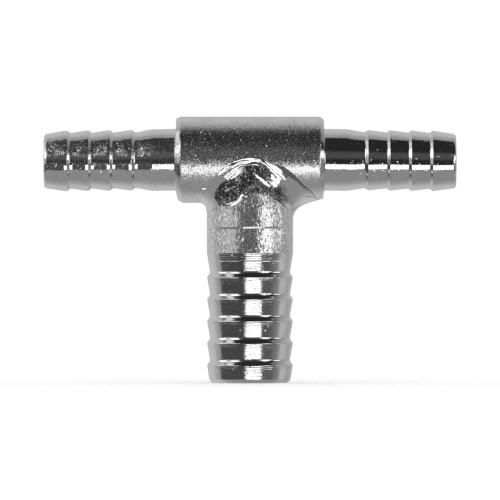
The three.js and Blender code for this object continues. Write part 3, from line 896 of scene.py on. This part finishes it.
def bore_steel():
    """Drilled bore: drill marks as a fine noise, duller."""
    mat, nd, bsdf, mm = steel("steel_drilled")
    bsdf.inputs["Metallic"].default_value = 0.55
    bsdf.inputs["Specular IOR Level"].default_value = 0.2
    marks = nd.noise(nd.scaled(mm, (2.6, 2.6, 2.6)), 1.0, 3.0, 0.7)
    nd.put(bsdf.inputs["Normal"], nd.bump(marks, 0.5e-5))
    nd.put(bsdf.inputs["Roughness"], nd.smooth(0.3, 0.7, marks, 0.13, 0.19))
    nd.put(bsdf.inputs["Base Color"], nd.mix_colour(marks, (0.36, 0.36, 0.358), (0.26, 0.26, 0.258)))
    return mat


def weld_steel():
    """Weld metal: smooth and glossy, dark and pitted in the throat and in the stop crater."""
    mat, nd, bsdf, mm = steel("weld_metal")
    rough = nd.new("ShaderNodeAttribute", attribute_name="rough").outputs["Fac"]
    shade_paint = nd.new("ShaderNodeAttribute", attribute_name="shade_paint").outputs["Fac"]
    mottle = nd.noise(mm, 1.5, 3.0, 0.6)
    specks = nd.noise(mm, 6.0, 2.0, 0.6)
    both_ = nd.add(nd.mul(mottle, 0.55), nd.mul(specks, 0.45))
    dark = nd.mul(nd.smooth(0.30, 0.62, nd.add(rough, nd.mul(nd.sub(both_, 0.5), -1.6))), nd.smooth(0.54, 0.66, both_, 1.0, 0.45))
    fleck = nd.mul(nd.smooth(0.60, 0.67, nd.noise(mm, 3.1, 1.0, 0.5)), rough)
    turn_v = nd.new("ShaderNodeCombineXYZ")
    for k, axis in enumerate(("turn_x", "turn_y", "turn_z")):
        nd.put(turn_v.inputs[k], nd.new("ShaderNodeAttribute", attribute_name=axis).outputs["Fac"])
    flat_n = nd.flakes(turn_v.outputs[0], nd.tilt(mm, (6.0, 6.0, 6.0), 2.4, 1.0, rough), nd.tilt(mm, (2.6, 2.6, 2.6), 1.5, 0.5, rough), nd.tilt(mm, (4.5, 4.5, 4.5), 0.0, 0.9, fleck),
                       nd.tilt(mm, (7.5, 7.5, 7.5), 0.0, 0.02))
    streak = nd.noise(nd.scaled(mm, (0.9, 0.9, 3.0)), 1.0, 2.0, 0.6)
    height = nd.add(nd.mul(streak, 0.5), nd.mul(nd.mul(specks, rough), 3.0))
    nd.put(bsdf.inputs["Normal"], nd.bump(height, 1.0e-5, normal=flat_n))
    nd.put(bsdf.inputs["Roughness"], nd.mix(rough, 0.11, 0.25))
    tone = nd.mix_colour(nd.mul(dark, nd.sub(1.0, fleck)), (0.57, 0.57, 0.567), (0.10, 0.10, 0.10))
    # painted shade: the mesh's dark lines and grey strokes darken the base colour
    nd.put(bsdf.inputs["Base Color"], nd.mix_colour(nd.mul(shade_paint, 0.85), tone, (0.09, 0.09, 0.09)))
    return mat


m_body, m_bore = body_steel(), bore_steel()
m_left = tail_steel("steel_turned_left", 0.07, 0.09, 0.62, 0.6, 0.85)
m_right = tail_steel("steel_turned_right", 0.06, 0.09, 0.42, 0.5)
m_barb, m_neck, m_weld = barb_steel(), neck_steel(), weld_steel()

run.data.materials.clear()
for m in (m_body, m_left, m_right, m_bore):
    run.data.materials.append(m)
run.data.polygons.foreach_set("material_index", run_slot.astype(np.int32))
for m in (m_barb, m_neck, m_bore):
    stem.data.materials.append(m)
weld.data.materials.append(m_weld)
spat.data.materials.append(m_weld)

for ob, node, name in ((run, "run_body", "turned_steel"), (stem, "branch_stem", "turned_steel"), (weld, "weld_bead", "weld_metal")):
    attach(ob, "root")
    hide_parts(node)
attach(spat, "root")

# ---------------------------------------------------------------- floor
floor_mesh = bpy.data.meshes.new("floor")
w = 1.6
floor_mesh.from_pydata([(-w, -w, 0), (w, -w, 0), (w, w, 0), (-w, w, 0)], [], [(0, 1, 2, 3)])
floor = bpy.data.objects.new("floor", floor_mesh)
floor.location.z = -0.00002
bpy.context.scene.collection.objects.link(floor)
fm = bpy.data.materials.new("floor_white")
fm.use_nodes = True
fb = fm.node_tree.nodes["Principled BSDF"]
fb.inputs["Base Color"].default_value = (0.58, 0.58, 0.58, 1)
fb.inputs["Emission Color"].default_value = (1, 1, 1, 1)
fb.inputs["Emission Strength"].default_value = 0.34
fb.inputs["Roughness"].default_value = 1.0
fb.inputs["Specular IOR Level"].default_value = 0.0
floor_mesh.materials.append(fm)
floor.visible_glossy = False

# ---------------------------------------------------------------- light tent
world = bpy.data.worlds.new("light_tent")
bpy.context.scene.world = world
world.use_nodes = True
wt = world.node_tree
wt.nodes.clear()
nd = Nodes(wt)
direction = nd.new("ShaderNodeTexCoord").outputs["Generated"]
sep = nd.new("ShaderNodeSeparateXYZ")
wt.links.new(direction, sep.inputs[0])
dx, dy, dz = sep.outputs
DEG = 180 / math.pi
el = nd.mul(nd.math("ARCSINE", dz), DEG)
az = nd.mul(nd.math("ARCTAN2", dx, nd.mul(dy, -1.0)), DEG)
off = nd.mul(nd.math("ARCCOSINE", nd.mul(dy, -1.0)), DEG)     # degrees away from straight in front


def both(a, b):
    return nd.mul(a, b)


def band(v, lo, hi, soft):
    return nd.mul(nd.smooth(lo - soft, lo + soft, v), nd.smooth(hi + soft, hi - soft, v))


def lay(light, mask, level):
    return nd.mix(mask, light, level)


def spot(az0, el0, ra, re, soft=0.18):
    """A lamp seen as an ellipse: its centre and half widths in degrees."""
    u = nd.mul(nd.sub(az, az0), 1 / ra)
    v = nd.mul(nd.sub(el, el0), 1 / re)
    return nd.smooth(1 + soft, 1 - soft, nd.math("SQRT", nd.add(nd.mul(u, u), nd.mul(v, v))))


light = nd.add(0.033, nd.mul(both(band(el, 4, 30, 6), band(az, -45, 45, 10)), 0.085))
# front, below: a pale table top
light = lay(light, nd.smooth(-34, -38, el), 0.42)
light = lay(light, both(band(az, -96, -13, 3), band(el, -33, -9, 3)), 0.092)
# tent walls at both sides, from a little below the horizon upwards
light = lay(light, both(band(az, -87, -33, 1.5), band(el, -9, 44, 3)), 0.72)
light = lay(light, both(band(az, 76, 100, 3), band(el, -9, 17, 3)), 0.50)
# the tent behind
back = nd.smooth(95, 125, off, 0.50, 0.80)
back = nd.mul(back, nd.smooth(140, 165, off, 1.0, 0.78))
back = nd.mul(back, nd.smooth(0.15, 0.75, dx, 1.0, 0.74))
light = lay(light, nd.smooth(88, 93, off), back)
light = lay(light, nd.smooth(166, 173, off), 0.4)
# low on the right the tent brightens slowly towards the back
low = nd.add(nd.smooth(56, 82, az, 0.13, 0.31), nd.add(nd.smooth(82, 99, az, 0.0, 0.46), nd.smooth(104, 134, az, 0.0, -0.27)))
light = lay(light, both(band(az, 33, 164, 3), band(el, -32, -8, 3)), low)
# lamps behind the walls
light = lay(light, both(band(az, -108, -72, 4), band(el, 16, 64, 6)), 1.2)
light = lay(light, spot(-47, 24, 16, 15), 2.8)
light = lay(light, spot(-87, 16, 15, 10), 2.8)
light = lay(light, both(band(az, 30, 63, 3), band(el, -9, 6, 3)), 2.3)
light = lay(light, spot(46, 11, 10, 13), 2.3)
light = lay(light, spot(84, 8, 16, 5.5), 2.6)
# soft box in front, under the lens: a broad strip, with a narrower part below it
box = nd.math("MAXIMUM", both(band(az, -15.0, 33.5, 1.5), band(el, -20.8, -18.3, 0.6)),
              both(band(az, -10.5, 31.5, 1.2), band(el, -35.0, -19.8, 1.2)))
light = lay(light, box, 3.2)
path = nd.new("ShaderNodeLightPath")
light = nd.mix(path.outputs["Is Diffuse Ray"], light, 1.17)
light = nd.mix(path.outputs["Is Camera Ray"], light, 1.0)
bg = nd.new("ShaderNodeBackground")
bg.inputs["Color"].default_value = (1, 1, 1, 1)
wt.links.new(light, bg.inputs["Strength"])
wo = nd.new("ShaderNodeOutputWorld")
wt.links.new(bg.outputs[0], wo.inputs[0])
world.cycles.sampling_method = "NONE"

scene = bpy.context.scene
scene.view_settings.view_transform = "Standard"
scene.view_settings.look = "None"

# ---------------------------------------------------------------- camera
cam_data = bpy.data.cameras.new("camera")
cam_data.lens = 500
cam_data.sensor_width = 36
cam_data.clip_start = 0.05
cam_data.clip_end = 20
cam = bpy.data.objects.new("camera", cam_data)
cam.location = (0.0, -0.0645 * 500 / 36, 0.0171)
cam.rotation_euler = (math.pi / 2, 0, 0)
scene.collection.objects.link(cam)
scene.camera = cam

for o in (run, stem, weld, spat):
    print(o.name, len(o.data.vertices), "verts", sum(len(p.vertices) - 2 for p in o.data.polygons), "tris")

# the denoiser would wipe out the fine grain of the metal
bpy.context.scene.cycles.use_denoising = False
